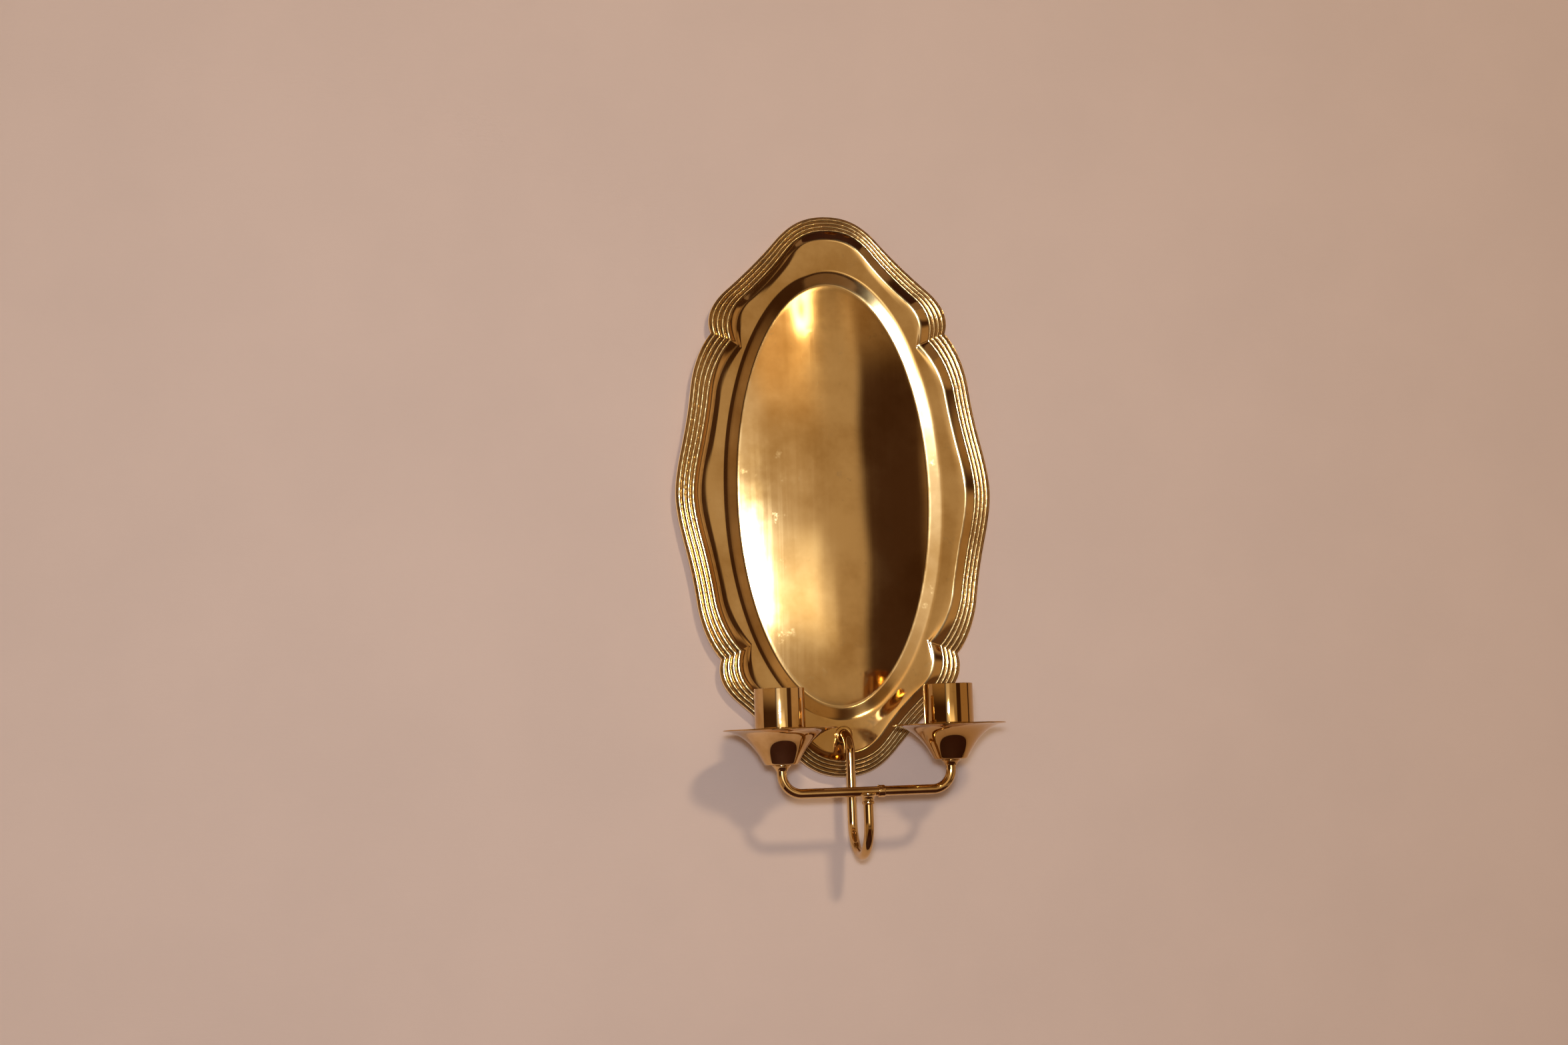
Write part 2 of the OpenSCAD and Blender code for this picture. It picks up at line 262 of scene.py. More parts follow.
def rounded(points, radius, closed=False):
    """Rounds the corners of a profile. The ends of an open one stay as they are."""
    made = []
    count = len(points)
    for i, corner in enumerate(points):
        corner = Vector(corner)
        if not closed and i in (0, count - 1):
            made.append(tuple(corner))
            continue
        before = Vector(points[i - 1]) - corner
        after = Vector(points[(i + 1) % count]) - corner
        reach = min(radius, before.length * CORNER_REACH, after.length * CORNER_REACH)
        a = corner + before.normalized() * reach
        b = corner + after.normalized() * reach
        for step in range(CORNER_STEPS + 1):
            t = step / CORNER_STEPS
            made.append(tuple(a * (1 - t) ** 2 + corner * 2 * t * (1 - t) + b * t * t))
    if closed:
        made.append(made[0])
    return made


def line_through(name, points):
    """Draws a line of edges from point to point, and leaves it selected in edit mode."""
    piece = start(name, bpy.ops.mesh.primitive_plane_add, size=MM, location=points[0])
    bpy.ops.mesh.merge(type="CENTER")
    for before, after in zip(points, points[1:]):
        bpy.ops.mesh.extrude_region_move(TRANSFORM_OT_translate={"value": after - before})
    bpy.ops.mesh.select_all(action="SELECT")
    return piece


def turned(name, profile, centre, along=(0, 0, 1), facets=96):
    """Spins a profile of radius and height round the line through centre, as on a lathe."""
    along = Vector(along)
    outward = Vector((0, 0, 1)) if abs(along.z) < 0.5 else Vector((1, 0, 0))
    piece = line_through(name, [Vector(centre) + outward * r + along * h for r, h in profile])
    bpy.ops.mesh.spin(steps=facets, angle=math.tau, center=centre, axis=along)
    return close_up(piece)


def select_only(mesh, wanted):
    """Selects these vertices of the mesh in edit mode, and nothing else."""
    bpy.ops.mesh.select_mode(type="VERT")
    bpy.ops.mesh.select_all(action="DESELECT")
    grid = bmesh.from_edit_mesh(mesh)
    grid.verts.ensure_lookup_table()
    for index in wanted:
        grid.verts[index].select = True
    grid.select_flush(True)
    bmesh.update_edit_mesh(mesh)


def drawn_out(name, rings, smooth=SMOOTH):
    """Lays a circle on the first ring, extrudes it from ring to ring, and closes both ends."""
    count = len(rings[0])
    piece = start(name, bpy.ops.mesh.primitive_circle_add, vertices=count, radius=MM)
    mesh = piece.data
    grid = bmesh.from_edit_mesh(mesh)
    grid.verts.ensure_lookup_table()
    for vertex, place in zip(grid.verts, rings[0]):
        vertex.co = place
    order = {i: i for i in range(count)}
    total = count
    for ring in rings[1:]:
        bpy.ops.mesh.extrude_edges_move()
        grid = bmesh.from_edit_mesh(mesh)
        grid.verts.ensure_lookup_table()
        following = {}
        for index in range(total, total + count):
            vertex = grid.verts[index]
            for edge in vertex.link_edges:
                other = edge.other_vert(vertex).index
                if other in order:
                    following[index] = order[other]
                    vertex.co = ring[order[other]]
        order = following
        total += count
    bmesh.update_edit_mesh(mesh)
    for end in (range(total - count, total), range(count)):
        select_only(mesh, end)
        bpy.ops.mesh.extrude_edges_move()
        bpy.ops.mesh.merge(type="CENTER")
    return close_up(piece, smooth)


def combine(piece, other, operation):
    """Cuts, joins or overlaps a piece with another one, which is used up."""
    modified(piece, "BOOLEAN", operation=operation, solver="EXACT", object=other)
    bpy.data.objects.remove(other)
    return piece


def soften(piece, width, angle=40.0):
    """Rounds a piece's sharp edges with a fine bevel."""
    modified(piece, "BEVEL", width=width, segments=2, limit_method="ANGLE", angle_limit=math.radians(angle))
    settle(piece)


def tidy_mesh(piece):
    """Merges points that nearly coincide and dissolves faces with no area."""
    pick(piece)
    bpy.ops.object.mode_set(mode="EDIT")
    bpy.ops.mesh.select_all(action="SELECT")
    bpy.ops.mesh.remove_doubles(threshold=NEARLY_SAME)
    bpy.ops.mesh.dissolve_degenerate(threshold=NEARLY_SAME)
    bpy.ops.object.mode_set(mode="OBJECT")
    settle(piece)


def copy_of(piece, name, shift):
    """A copy of a piece with a mesh of its own, moved by shift."""
    other = piece.copy()
    other.data = piece.data.copy()
    other.name = name
    other.data.name = name
    bpy.context.scene.collection.objects.link(other)
    other.data.transform(Matrix.Translation(shift))
    return other


def fit(piece, node, body, slot):
    """Puts a finished piece in a node's place, on its body, with the slot's finish."""
    piece.data.materials.clear()
    piece.data.materials.append(bpy.data.materials[FINISHES[slot]])
    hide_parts(node)
    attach(piece, body)


# ---------- brass ----------

# Noise patterns: scale, detail and roughness, then the range that is mapped and its new range.
SMUDGES = ((28.0, 4.0, 0.6), (0.46, 0.68))
STAINS = ((95.0, 5.0, 0.7), (0.60, 0.74))
PATCHES = ((17.0, 5.0, 0.62), (0.34, 0.70))
DENTS = ((430.0, 2.0, 0.5), (0.50, 0.72))
BREAKS = ((150.0, 3.0, 0.6), (0.25, 0.62, 0.35, 1.0))
# The next pattern is painted shade: it darkens the reeds in patches.
REED_SHADE = ((60.0, 3.0, 0.6), (0.3, 0.7, 0.42, 0.68))
WALL_TONE = ((9.0, 4.0, 0.6), (0.3, 0.7))
FLOOR_TONE = ((3.0, 4.0, 0.6), (0.3, 0.7))
# Streaks: scale each way, detail and roughness.
SCRATCHES = ((900.0, 900.0, 60.0), 2.0, 0.5)
FINE_LINES = ((2600.0, 200.0, 34.0), 3.0, 0.6)
BROAD_LINES = ((420.0, 60.0, 9.0), 2.0, 0.5)
WEAVE = ((90.0, 1.0, 420.0), 4.0, 0.65)
# How strongly each mark shows in the colour, in the roughness and in the height of the brass.
STAIN_COLOUR = 0.30
SMUDGE_ROUGHNESS = 0.030
SOIL_ROUGHNESS = 0.25
STREAK_ROUGHNESS = 0.012
SCRATCH_HEIGHT = 0.35
BRUSHING_HEIGHT = 1.5
DENT_HEIGHT = 16.0
RELIEF_STRENGTH = 0.5
RELIEF_DEPTH = 0.004 * MM


def connect(tree, node, inputs):
    """Fills a node's inputs, given as pairs of a socket's name or number and a value or socket."""
    for key, value in inputs:
        if isinstance(value, bpy.types.NodeSocket):
            tree.links.new(value, node.inputs[key])
        else:
            node.inputs[key].default_value = value


def place_node(tree, kind, inputs=(), **settings):
    """Adds a node with these settings and inputs."""
    made = tree.nodes.new(kind)
    for key, value in settings.items():
        setattr(made, key, value)
    connect(tree, made, inputs)
    return made


def new_material(name):
    """A new material, with its node tree and its shader."""
    material = bpy.data.materials.new(name)
    material.use_nodes = True
    return material, material.node_tree, material.node_tree.nodes["Principled BSDF"]


def new_group(name, inputs, outputs):
    """A node group with what it is given and its result, each socket a name, a kind and a default."""
    tree = bpy.data.node_groups.new(name, "ShaderNodeTree")
    for way, sockets in (("INPUT", inputs), ("OUTPUT", outputs)):
        for label, kind, default in sockets:
            socket = tree.interface.new_socket(name=label, in_out=way, socket_type="NodeSocket" + kind)
            if default is not None:
                socket.default_value = default
    return tree, place_node(tree, "NodeGroupInput").outputs, place_node(tree, "NodeGroupOutput")


def grouped(tree, name, inputs=()):
    """Places a node group with its own values."""
    return place_node(tree, "ShaderNodeGroup", inputs, node_tree=bpy.data.node_groups[name]).outputs


def maths(tree, operation, a, b=0.0):
    return place_node(tree, "ShaderNodeMath", ((0, a), (1, b)), operation=operation).outputs[0]


def times(tree, a, b):
    return maths(tree, "MULTIPLY", a, b)


def plus(tree, a, b):
    return maths(tree, "ADD", a, b)


def between(tree, value, low, high, to_low=0.0, to_high=1.0):
    """Maps a value smoothly from one range to another, and stops at its ends."""
    inputs = (
        ("Value", value), ("From Min", low), ("From Max", high), ("To Min", to_low), ("To Max", to_high),
    )
    return place_node(tree, "ShaderNodeMapRange", inputs, interpolation_type="SMOOTHSTEP").outputs["Result"]


def blended(tree, amount, a, b, **settings):
    """A mix of two colours, which are the node's inputs 6 and 7 and its output 2."""
    inputs = (("Factor", amount), (6, a), (7, b))
    return place_node(tree, "ShaderNodeMix", inputs, data_type="RGBA", **settings).outputs[2]


def noise(tree, vector, scale, detail, roughness):
    inputs = (("Vector", vector), ("Scale", scale), ("Detail", detail), ("Roughness", roughness))
    return place_node(tree, "ShaderNodeTexNoise", inputs).outputs["Fac"]


def mask(tree, vector, pattern):
    """A noise pattern, mapped to its new range."""
    grain, mapping = pattern
    return between(tree, noise(tree, vector, *grain), *mapping)


def streaks(tree, vector, pattern):
    """Noise that is scaled by a different amount each way, so that it runs in streaks."""
    scale, detail, roughness = pattern
    run = place_node(tree, "ShaderNodeMapping", (("Vector", vector), ("Scale", scale))).outputs["Vector"]
    return noise(tree, run, 1.0, detail, roughness)


def attribute(tree, name):
    return place_node(tree, "ShaderNodeAttribute", attribute_name=name).outputs["Fac"]


def object_place(tree):
    """Coordinates that stay with the piece."""
    return place_node(tree, "ShaderNodeTexCoord").outputs["Object"]


def scaled_place(tree, scale):
    """Coordinates that stay with the piece, scaled the same each way."""
    inputs = ((0, object_place(tree)), ("Scale", scale))
    return place_node(tree, "ShaderNodeVectorMath", inputs, operation="SCALE").outputs[0]


def build_handling_group():
    """Smudges, small stains and fine polishing scratches, which every brass part has."""
    tree, given, result = new_group(
        "Handling marks",
        (("Scale", "Float", 1.0),),
        (("Smudge", "Float", None), ("Stain", "Float", None), ("Scratch", "Float", None)),
    )
    place = scaled_place(tree, given["Scale"])
    connect(tree, result, (
        ("Smudge", mask(tree, place, SMUDGES)),
        ("Stain", mask(tree, place, STAINS)),
        ("Scratch", streaks(tree, place, SCRATCHES)),
    ))


def build_brushing_group():
    """Fine upright lines that a polishing wheel leaves, as a height and as a mask."""
    tree, given, result = new_group(
        "Upright brushing",
        (("Fineness", "Float", 1.0),),
        (("Height", "Float", None), ("Streak", "Float", None)),
    )
    place = scaled_place(tree, given["Fineness"])
    fine = streaks(tree, place, FINE_LINES)
    broad = streaks(tree, place, BROAD_LINES)
    height = plus(tree, times(tree, fine, 0.6), times(tree, broad, 0.4))
    connect(tree, result, (("Height", height), ("Streak", between(tree, broad, 0.40, 0.66))))


def build_ageing_group():
    """Bright brass that mellows in soft patches, with the residue colour where it is masked, for dirt and for
    painted shade.
    """
    tree, given, result = new_group(
        "Aged brass",
        (
            ("Bright", "Color", None), ("Mellow", "Color", None), ("Residue", "Color", None),
            ("Ageing", "Float", 0.3), ("Dirt", "Float", 0.0),
        ),
        (("Color", "Color", None),),
    )
    amount = times(tree, mask(tree, object_place(tree), PATCHES), times(tree, given["Ageing"], 2.0))
    amount = place_node(tree, "ShaderNodeClamp", (("Value", amount),)).outputs[0]
    metal = blended(tree, amount, given["Bright"], given["Mellow"])
    connect(tree, result, (("Color", blended(tree, given["Dirt"], metal, given["Residue"])),))


def rgba(values):
    return (*values, 1.0)


def brass_material(name, ageing, roughness, marks, dirt_and_shade=None, relief=None):
    """Brass with its own ageing, roughness and scale of marks. A piece may add its own dirt and painted
    shade, and its own relief.
    """
    finish = bpy.context.scene.sconce_finish
    tree, shader = new_material(name)[1:]
    handling = grouped(tree, "Handling marks", (("Scale", marks),))
    spots = times(tree, handling["Stain"], STAIN_COLOUR)
    # Stains, and a piece's own dirt and painted shade, pull the colour towards the residue.
    soil_and_shade = spots if dirt_and_shade is None else maths(tree, "MAXIMUM", spots, dirt_and_shade(tree))
    metal = grouped(tree, "Aged brass", (
        ("Bright", rgba(finish.bright)), ("Mellow", rgba(finish.mellow)), ("Residue", rgba(finish.residue)),
        ("Ageing", ageing), ("Dirt", soil_and_shade),
    ))
    rough = plus(tree, roughness, times(tree, handling["Smudge"], SMUDGE_ROUGHNESS))
    rough = plus(tree, rough, times(tree, soil_and_shade, SOIL_ROUGHNESS))
    height = times(tree, handling["Scratch"], SCRATCH_HEIGHT)
    if relief is not None:
        extra_height, extra_rough = relief(tree)
        height = plus(tree, height, extra_height)
        rough = plus(tree, rough, extra_rough)
    bump = place_node(tree, "ShaderNodeBump", (
        ("Strength", RELIEF_STRENGTH), ("Distance", RELIEF_DEPTH), ("Height", height),
    ))
    connect(tree, shader, (
        ("Base Color", metal["Color"]), ("Metallic", 1.0),
        ("Roughness", rough), ("Normal", bump.outputs["Normal"]),
    ))


def plate_relief(tree):
    """Height and added roughness: brushing in the oval, and fine dents along the reeds."""
    oval = attribute(tree, "oval")
    brushing = grouped(tree, "Upright brushing", (("Fineness", 1.0),))
    lines = times(tree, brushing["Height"], times(tree, oval, BRUSHING_HEIGHT))
    dents = times(tree, mask(tree, object_place(tree), DENTS), DENT_HEIGHT)
    height = plus(tree, lines, times(tree, dents, attribute(tree, "reeded")))
    rough = times(tree, plus(tree, brushing["Streak"], 0.7), times(tree, oval, STREAK_ROUGHNESS))
    return height, rough


def plate_residue_and_shade(tree):
    """Residue in the grooves, at the rim's foot and in the crease, and painted shade that darkens the reeds
    in patches.
    """
    place = object_place(tree)
    residue = times(tree, attribute(tree, "groove"), mask(tree, place, BREAKS))
    # Painted shade: the reeds are darkened in patches towards the residue colour.
    painted_reed_shade = times(tree, attribute(tree, "reeded"), mask(tree, place, REED_SHADE))
    return maths(tree, "MAXIMUM", residue, painted_reed_shade)


class SCONCE_OT_finishes(bpy.types.Operator):
    """Mixes the brass finishes"""

    bl_idname = "sconce.finishes"
    bl_label = "Brass Finishes"

    # Each slot's ageing as a multiple of the setting, its roughness and its scale of marks.
    LOOKS = (
        ("plate_brass", 1.4, 0.07, 1.0, plate_residue_and_shade, plate_relief),
        ("rod_brass", 2.2, 0.06, 2.2),
        ("holder_brass", 2.6, 0.03, 1.6),
        ("plain_brass", 2.2, 0.26, 2.5),
    )

    def execute(self, context):
        build_handling_group()
        build_brushing_group()
        build_ageing_group()
        ageing = context.scene.sconce_finish.ageing
        for slot, multiple, *look in self.LOOKS:
            brass_material(FINISHES[slot], min(1.0, ageing * multiple), *look)
        return {"FINISHED"}


# ---------- back plate ----------


def cubic(p, t):
    a, b, c, d = (Vector(q) for q in p)
    return a * (1 - t) ** 3 + b * 3 * t * (1 - t) ** 2 + c * 3 * t * t * (1 - t) + d * t ** 3


def closed_outline(curve, steps, scale):
    """Points of a quarter outline's curves, mirrored into a closed outline."""
    quarter = []
    for first in range(0, len(curve) - 1, 3):
        quarter += [cubic(curve[first:first + 4], j / steps) for j in range(steps)]
    quarter.append(Vector(curve[-1]))
    quarter = [Vector((p.x * scale[0], p.y * scale[1])) for p in quarter]
    last = len(quarter) - 1
    lower_right = [Vector((p.x, -p.y)) for p in quarter[last:0:-1]]
    lower_left = [Vector((-p.x, -p.y)) for p in quarter[:last]]
    upper_left = [Vector((-p.x, p.y)) for p in quarter[last:0:-1]]
    return quarter[:last] + lower_right + lower_left + upper_left


class PlateShape:
    """The plate's rings, worked out from its outlines and its section."""

    # Half widths and half heights of the ring on the ledge and of the crease inside it.
    RING_AXES = (60.5, 121.0)
    CREASE_AXES = (52.0, 112.7)
    # Where the reeds begin and end between the outer edge (0) and the foot of the inner wall (1).
    BAND = (0.03, 0.69)
    REED_STEPS = 9
    # How the ledge rolls down into the crease, and sweeps up into the rim.
    STRAIGHT = 0.72
    ROLL_START = 1.02
    COVE = 0.46 * MM
    COVE_WIDTH = 0.62
    RIPPLE = 0.03 * MM
    # Where the rings lie on the front, from the middle outwards, and then on the rear.
    DOME = (0.03, 0.08, 0.14, 0.2, 0.27, 0.34, 0.41, 0.48, 0.55, 0.62, 0.69, 0.76, 0.82, 0.88, 0.93, 0.97)
    SLOPE = (0.2, 0.35, 0.5, 0.65, 0.8, 0.9)
    LEDGE = (1.0, 0.94, 0.8, 0.65, 0.5, 0.36, 0.28, 0.2, 0.13, 0.06)
    WALL = (0.0, 0.09, 0.18, 0.28, 0.4, 0.52, 0.65, 0.78, 0.9, 0.97)
    LIP = ((0.015, 0.16), (0.004, 0.3), (0.0, 0.5), (0.0, 1.0))
    REAR_BAND = (0.1, 0.2, 0.35, 0.5, 0.62)
    REAR_WALL = (0.72, 0.45, 0.2, 0.0)
    REAR_LEDGE = (0.3, 0.7, 1.0)
    REAR_SLOPE = (0.6, 0.25, 0.0)
    REAR_DOME = (0.92, 0.8, 0.66, 0.52, 0.38, 0.24, 0.12, 0.03)

    def __init__(self, context):
        self.s = context.scene.sconce_plate
        low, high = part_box("back_plate")
        self.centre = (low + high) / 2
        self.scale = ((high.x - low.x) / DRAWN_SIZE[0], (high.z - low.z) / DRAWN_SIZE[1])
        self.outer = closed_outline(OUTER_CURVE, self.s.curve_steps, self.scale)
        self.foot = closed_outline(FOOT_CURVE, self.s.curve_steps, self.scale)
        self.ledge = -low.y - self.s.rim_rise
        self.edge = self.ledge + self.s.edge_rise
        self.crease = self.ledge - self.s.crease_depth
        self.rings = []
        self.marks = []

    def wave(self, x, z):
        """Slight unevenness of the flat parts and the dome, from waves that never line up."""
        broad = math.sin(x * 71 + 1.3) * math.sin(z * 43 + 0.4)
        falling = math.sin(x * 147 - z * 58 + 2.1)
        rising = math.sin(z * 121 + x * 63 + 4.0)
        return self.s.waviness * (0.5 * broad + 0.25 * falling + 0.3 * rising)

    @staticmethod
    def dent(step, s):
        """Unevenness along a reed, different on each reed."""
        reed = math.floor(s * 6)
        return math.sin(step * 1.13 + reed * 2.3) + 0.6 * math.sin(step * 0.37 + reed * 1.1)

    def add(self, points, groove=0.0, oval=0.0, reeded=0.0):
        self.rings.append(points)
        self.marks.append((groove, oval, reeded))

    def place(self, x, z, front, flat):
        lift = flat * self.wave(x, z)
        return Vector((self.centre.x + x, -(front + lift), self.centre.z + z))

    def band(self, s, front, flat=0.0, ripple=0.0, **marks):
        """A ring between the outer edge (s = 0) and the foot of the inner wall (s = 1)."""
        points = []
        for step, (o, f) in enumerate(zip(self.outer, self.foot)):
            p = o + (f - o) * s
            points.append(self.place(p.x, p.y, front + ripple * self.dent(step, s), flat))
        self.add(points, **marks)

    def on_oval(self, axes, f):
        """The point of an oval that belongs to a point of the rim's foot."""
        a, b = axes[0] * self.scale[0], axes[1] * self.scale[1]
        turn = math.atan2(f.y / b, f.x / a)
        return Vector((a * math.cos(turn), b * math.sin(turn)))

    def oval(self, axes, front, reach=1.0, **marks):
        """An oval ring, which reaches out to all or a share of its half width and height."""
        points = [self.on_oval(axes, f) * reach for f in self.foot]
        self.add([self.place(p.x, p.y, front, 1.0) for p in points], **marks)

    def slope(self, t, front, **marks):
        """A ring between the crease (t = 0) and the ring on the ledge (t = 1)."""
        self.oval([a + (r - a) * t for a, r in zip(self.CREASE_AXES, self.RING_AXES)], front, **marks)

    def flat_ledge(self, t, front):
        """A ring on the ledge, from the foot of the rim (t = 0) to the ring (t = 1)."""
        points = [f + (self.on_oval(self.RING_AXES, f) - f) * t for f in self.foot]
        self.add([self.place(p.x, p.y, front, min(1.0, 4 * t)) for p in points])

    def roll(self, way):
        """Drop of the ledge from its foot (0) past the ring (1) down to the crease (2)."""
        straight = self.STRAIGHT
        begin = 2 - self.ROLL_START
        fall = self.ROLL_START - straight
        past = max(0.0, way - begin)
        share = (min(past, fall) ** 2 / (2 * fall) + max(0.0, past - fall)) / (straight + fall / 2)
        return self.s.crease_depth * share

    def cove(self, t):
        """Rise of the ledge's outer part, where it sweeps up into the rim (t = 0 at its foot)."""
        return self.COVE * max(0.0, 1 - t / self.COVE_WIDTH) ** 2

    def climb(self, s):
        """Front of the reeded band without its reeds."""
        low, high = self.BAND
        return self.edge + (self.s.rim_rise - self.s.edge_rise) * (s - low) / (high - low)

    def dome(self, k):
        return self.crease + self.s.dome_rise * (1 - k * k)

    def section(self):
        """All rings in order: out over the front, round the lip and back over the rear."""
        self.front_oval()
        top = self.s.rim_rise - self.s.reed_rise
        self.front_ledge(top)
        self.reeds()
        self.lip()
        self.rear(top)
        return self.rings

    def front_oval(self):
        for k in self.DOME:
            self.oval(self.CREASE_AXES, self.dome(k), k, oval=1.0)
        self.oval(self.CREASE_AXES, self.dome(0.99), 0.99, groove=0.25, oval=1.0)
        self.oval(self.CREASE_AXES, self.crease, groove=0.5)
        self.slope(0.08, self.ledge - self.roll(1.92), groove=0.2)
        for t in self.SLOPE:
            self.slope(t, self.ledge - self.roll(2 - t))

    def front_ledge(self, top):
        for t in self.LEDGE:
            self.flat_ledge(t, self.ledge - self.roll(t) + self.cove(t))
        for u in self.WALL:
            rise = self.COVE * (1 - u) + top * (u ** 1.4)
            groove = 0.6 * max(0.0, 1 - abs(5 * u - 1))
            self.band(1 - (1 - self.BAND[1]) * u, self.ledge + rise, groove=groove)

    def reeds(self):
        low, high = self.BAND
        steps = self.s.reeds * self.REED_STEPS
        for i in range(steps, -1, -1):
            phase = (i % self.REED_STEPS) / self.REED_STEPS
            reed = abs(math.sin(math.pi * phase)) ** 0.75
            at = low + (high - low) * (i / steps)
            self.band(at, self.climb(at) - self.s.reed_rise * (1 - reed), ripple=self.RIPPLE * reed,
                      groove=(1 - reed) ** 2, reeded=1.0)

    def lip(self):
        front = self.edge - self.s.reed_rise * 0.6
        for at, drop in self.LIP:
            self.band(at, front - self.s.lip_turn * (drop - 0.16))
        rear = front - self.s.lip_turn * 0.84
        self.band(0.03, rear - 0.15 * MM)
        self.band(0.075, rear)

    def rear(self, top):
        sheet = self.s.sheet
        for at in (*self.REAR_BAND, self.BAND[1]):
            self.band(at, self.climb(at) - self.s.reed_rise - sheet)
        for u in self.REAR_WALL:
            self.band(1 - (1 - self.BAND[1]) * u, self.ledge - sheet + top * 0.85 * (u ** 1.6))
        for t in self.REAR_LEDGE:
            self.flat_ledge(t, self.ledge - sheet)
        for t in self.REAR_SLOPE:
            self.slope(t, self.crease - sheet + self.s.crease_depth * t)
        for k in self.REAR_DOME:
            self.oval(self.CREASE_AXES, self.dome(k) - sheet, k)


class SCONCE_OT_back_plate(bpy.types.Operator):
    """Presses the back plate: reeded rim, flat ledge and domed oval"""

    bl_idname = "sconce.back_plate"
    bl_label = "Back Plate"

    def execute(self, context):
        shape = PlateShape(context)
        rings = shape.section()
        count = len(rings[0])
        plate = drawn_out("back_plate_sheet", rings, smooth=42.0)
        points = min(len(rings) * count, len(plate.data.vertices))
        for column, label in enumerate(("groove", "oval", "reeded")):
            layer = plate.data.attributes.new(label, "FLOAT", "POINT")
            for index in range(points):
                layer.data[index].value = shape.marks[index // count][column]
        fit(plate, "back_plate", PLATE_BODY, "plate_brass")
        return {"FINISHED"}


class SCONCE_OT_plate_fastenings(bpy.types.Operator):
    """Makes the hanging strap, and the collar, washer and nut at the arm's root"""

    bl_idname = "sconce.plate_fastenings"
    bl_label = "Plate Fastenings"

    STRAP_FOOT = 7 * MM
    STRAP_WIDTH = 6 * MM
    STRAP_BEND = 1.6 * MM
    NUT_CHAMFER = 0.8 * MM
    NUT_FACE = 1.2 * MM

    def execute(self, context):
        self.strap()
        self.root_pieces()
        return {"FINISHED"}

    def strap(self):
        low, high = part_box("hanging_strap")
        thick = size("root_washer").y * 1.2
        step = high.x - self.STRAP_FOOT - thick / 2
        foot_y = low.y + thick / 2
        back_y = high.y - thick / 2
        tall = self.STRAP_WIDTH
        path = [
            (low.x, foot_y), (-step, foot_y), (-step, back_y),
            (step, back_y), (step, foot_y), (high.x, foot_y),
        ]
        points = [Vector((x, y, -tall / 2)) for x, y in rounded(path, self.STRAP_BEND)]
        strap = line_through("hanging_strap_strip", points)
        bpy.ops.mesh.extrude_region_move(TRANSFORM_OT_translate={"value": (0, 0, tall)})
        close_up(strap)
        modified(strap, "SOLIDIFY", thickness=thick, offset=0.0, use_even_offset=True)
        eye_r = mount_size("hanging_eye", "r_mm")
        for name, radius, rear, front, operation in (
            ("eye_disc", high.z, 0, thick, "UNION"),
            ("eye_hole", eye_r, -MM, 3 * MM, "DIFFERENCE"),
        ):
            profile = [(0, rear), (radius, rear), (radius, front), (0, front)]
            combine(strap, turned(name, profile, (0, 0, 0), (0, -1, 0), 64), operation)
        tidy_mesh(strap)
        soften(strap, 0.09 * MM, 50.0)
        tidy_mesh(strap)
        fit(strap, "hanging_strap", PLATE_BODY, "plain_brass")

    def root_pieces(self):
        rod = size("arm_rod").x / 2
        for node, soft, slot in (
            ("arm_collar", 0.5 * MM, "rod_brass"),
            ("root_washer", 0.15 * MM, "plain_brass"),
        ):
            fit(ring_piece(node + "_turned", node, rod, soft), node, PLATE_BODY, slot)
        low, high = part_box("root_nut")
        centre = (low + high) / 2
        corner = (high.x - low.x) / 2
        thick = high.y - low.y
        nut = start(
            "root_nut_hex", bpy.ops.mesh.primitive_cylinder_add, vertices=6, radius=corner, depth=thick,
            location=centre, rotation=(math.pi / 2, math.pi / 6, 0),
        )
        close_up(nut)
        wide = corner + 0.3 * MM
        narrow = corner - self.NUT_FACE - self.NUT_CHAMFER
        side = thick / 2 - self.NUT_CHAMFER
        face = thick / 2 + 0.02 * MM
        profile = [(0, -thick), (narrow, -face), (wide, -side), (wide, side), (narrow, face), (0, thick)]
        combine(nut, turned("nut_chamfer", profile, centre, (0, -1, 0), 72), "INTERSECT")
        profile = [(0, -thick), (rod, -thick), (rod, thick), (0, thick)]
        combine(nut, turned("nut_bore", profile, centre, (0, -1, 0), 48), "DIFFERENCE")
        soften(nut, 0.1 * MM)
        fit(nut, "root_nut", PLATE_BODY, "plain_brass")


def ring_piece(name, node, bore, soft):
    """A turned ring with softened edges, that fills a node's box round the given bore."""
    low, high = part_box(node)
    centre = (low + high) / 2
    extent = high - low
    axis = min(range(3), key=lambda i: extent[i])
    along = Vector((0, 0, 0))
    along[axis] = 1.0
    outer = max(extent) / 2
    half = extent[axis] / 2
    profile = rounded([(bore, -half), (outer, -half), (outer, half), (bore, half)], soft, closed=True)
    facets = bpy.context.scene.sconce_holder.facets
    return turned(name, profile, centre, along, facets)


# ---------- rods ----------


class RodPath:
    """Rings of points along a rod that runs straight and bends in one plane."""

    def __init__(self, place, heading, side, radius, facets):
        self.place = Vector(place)
        self.heading = Vector(heading)
        self.side = Vector(side)
        self.radius = radius
        self.facets = facets
        self.rings = []

    def ring(self, radius=None):
        radius = self.radius if radius is None else radius
        across = self.heading.cross(self.side)
        points = []
        for i in range(self.facets):
            turn = math.tau * i / self.facets
            points.append(self.place + (self.side * math.cos(turn) + across * math.sin(turn)) * radius)
        self.rings.append(points)

    def run(self, distance, radius=None):
        self.place = self.place + self.heading * distance
        self.ring(radius)

    def bend(self, radius, angle, steps=28):
        """Bends round an axis that lies along side. A positive angle turns left of heading."""
        sign = 1 if angle > 0 else -1
        centre = self.place + self.side.cross(self.heading) * radius * sign
        for _ in range(steps):
            turn = Matrix.Rotation(math.radians(angle) / steps, 3, self.side)
            self.place = centre + turn @ (self.place - centre)
            self.heading = (turn @ self.heading).normalized()
            self.ring()


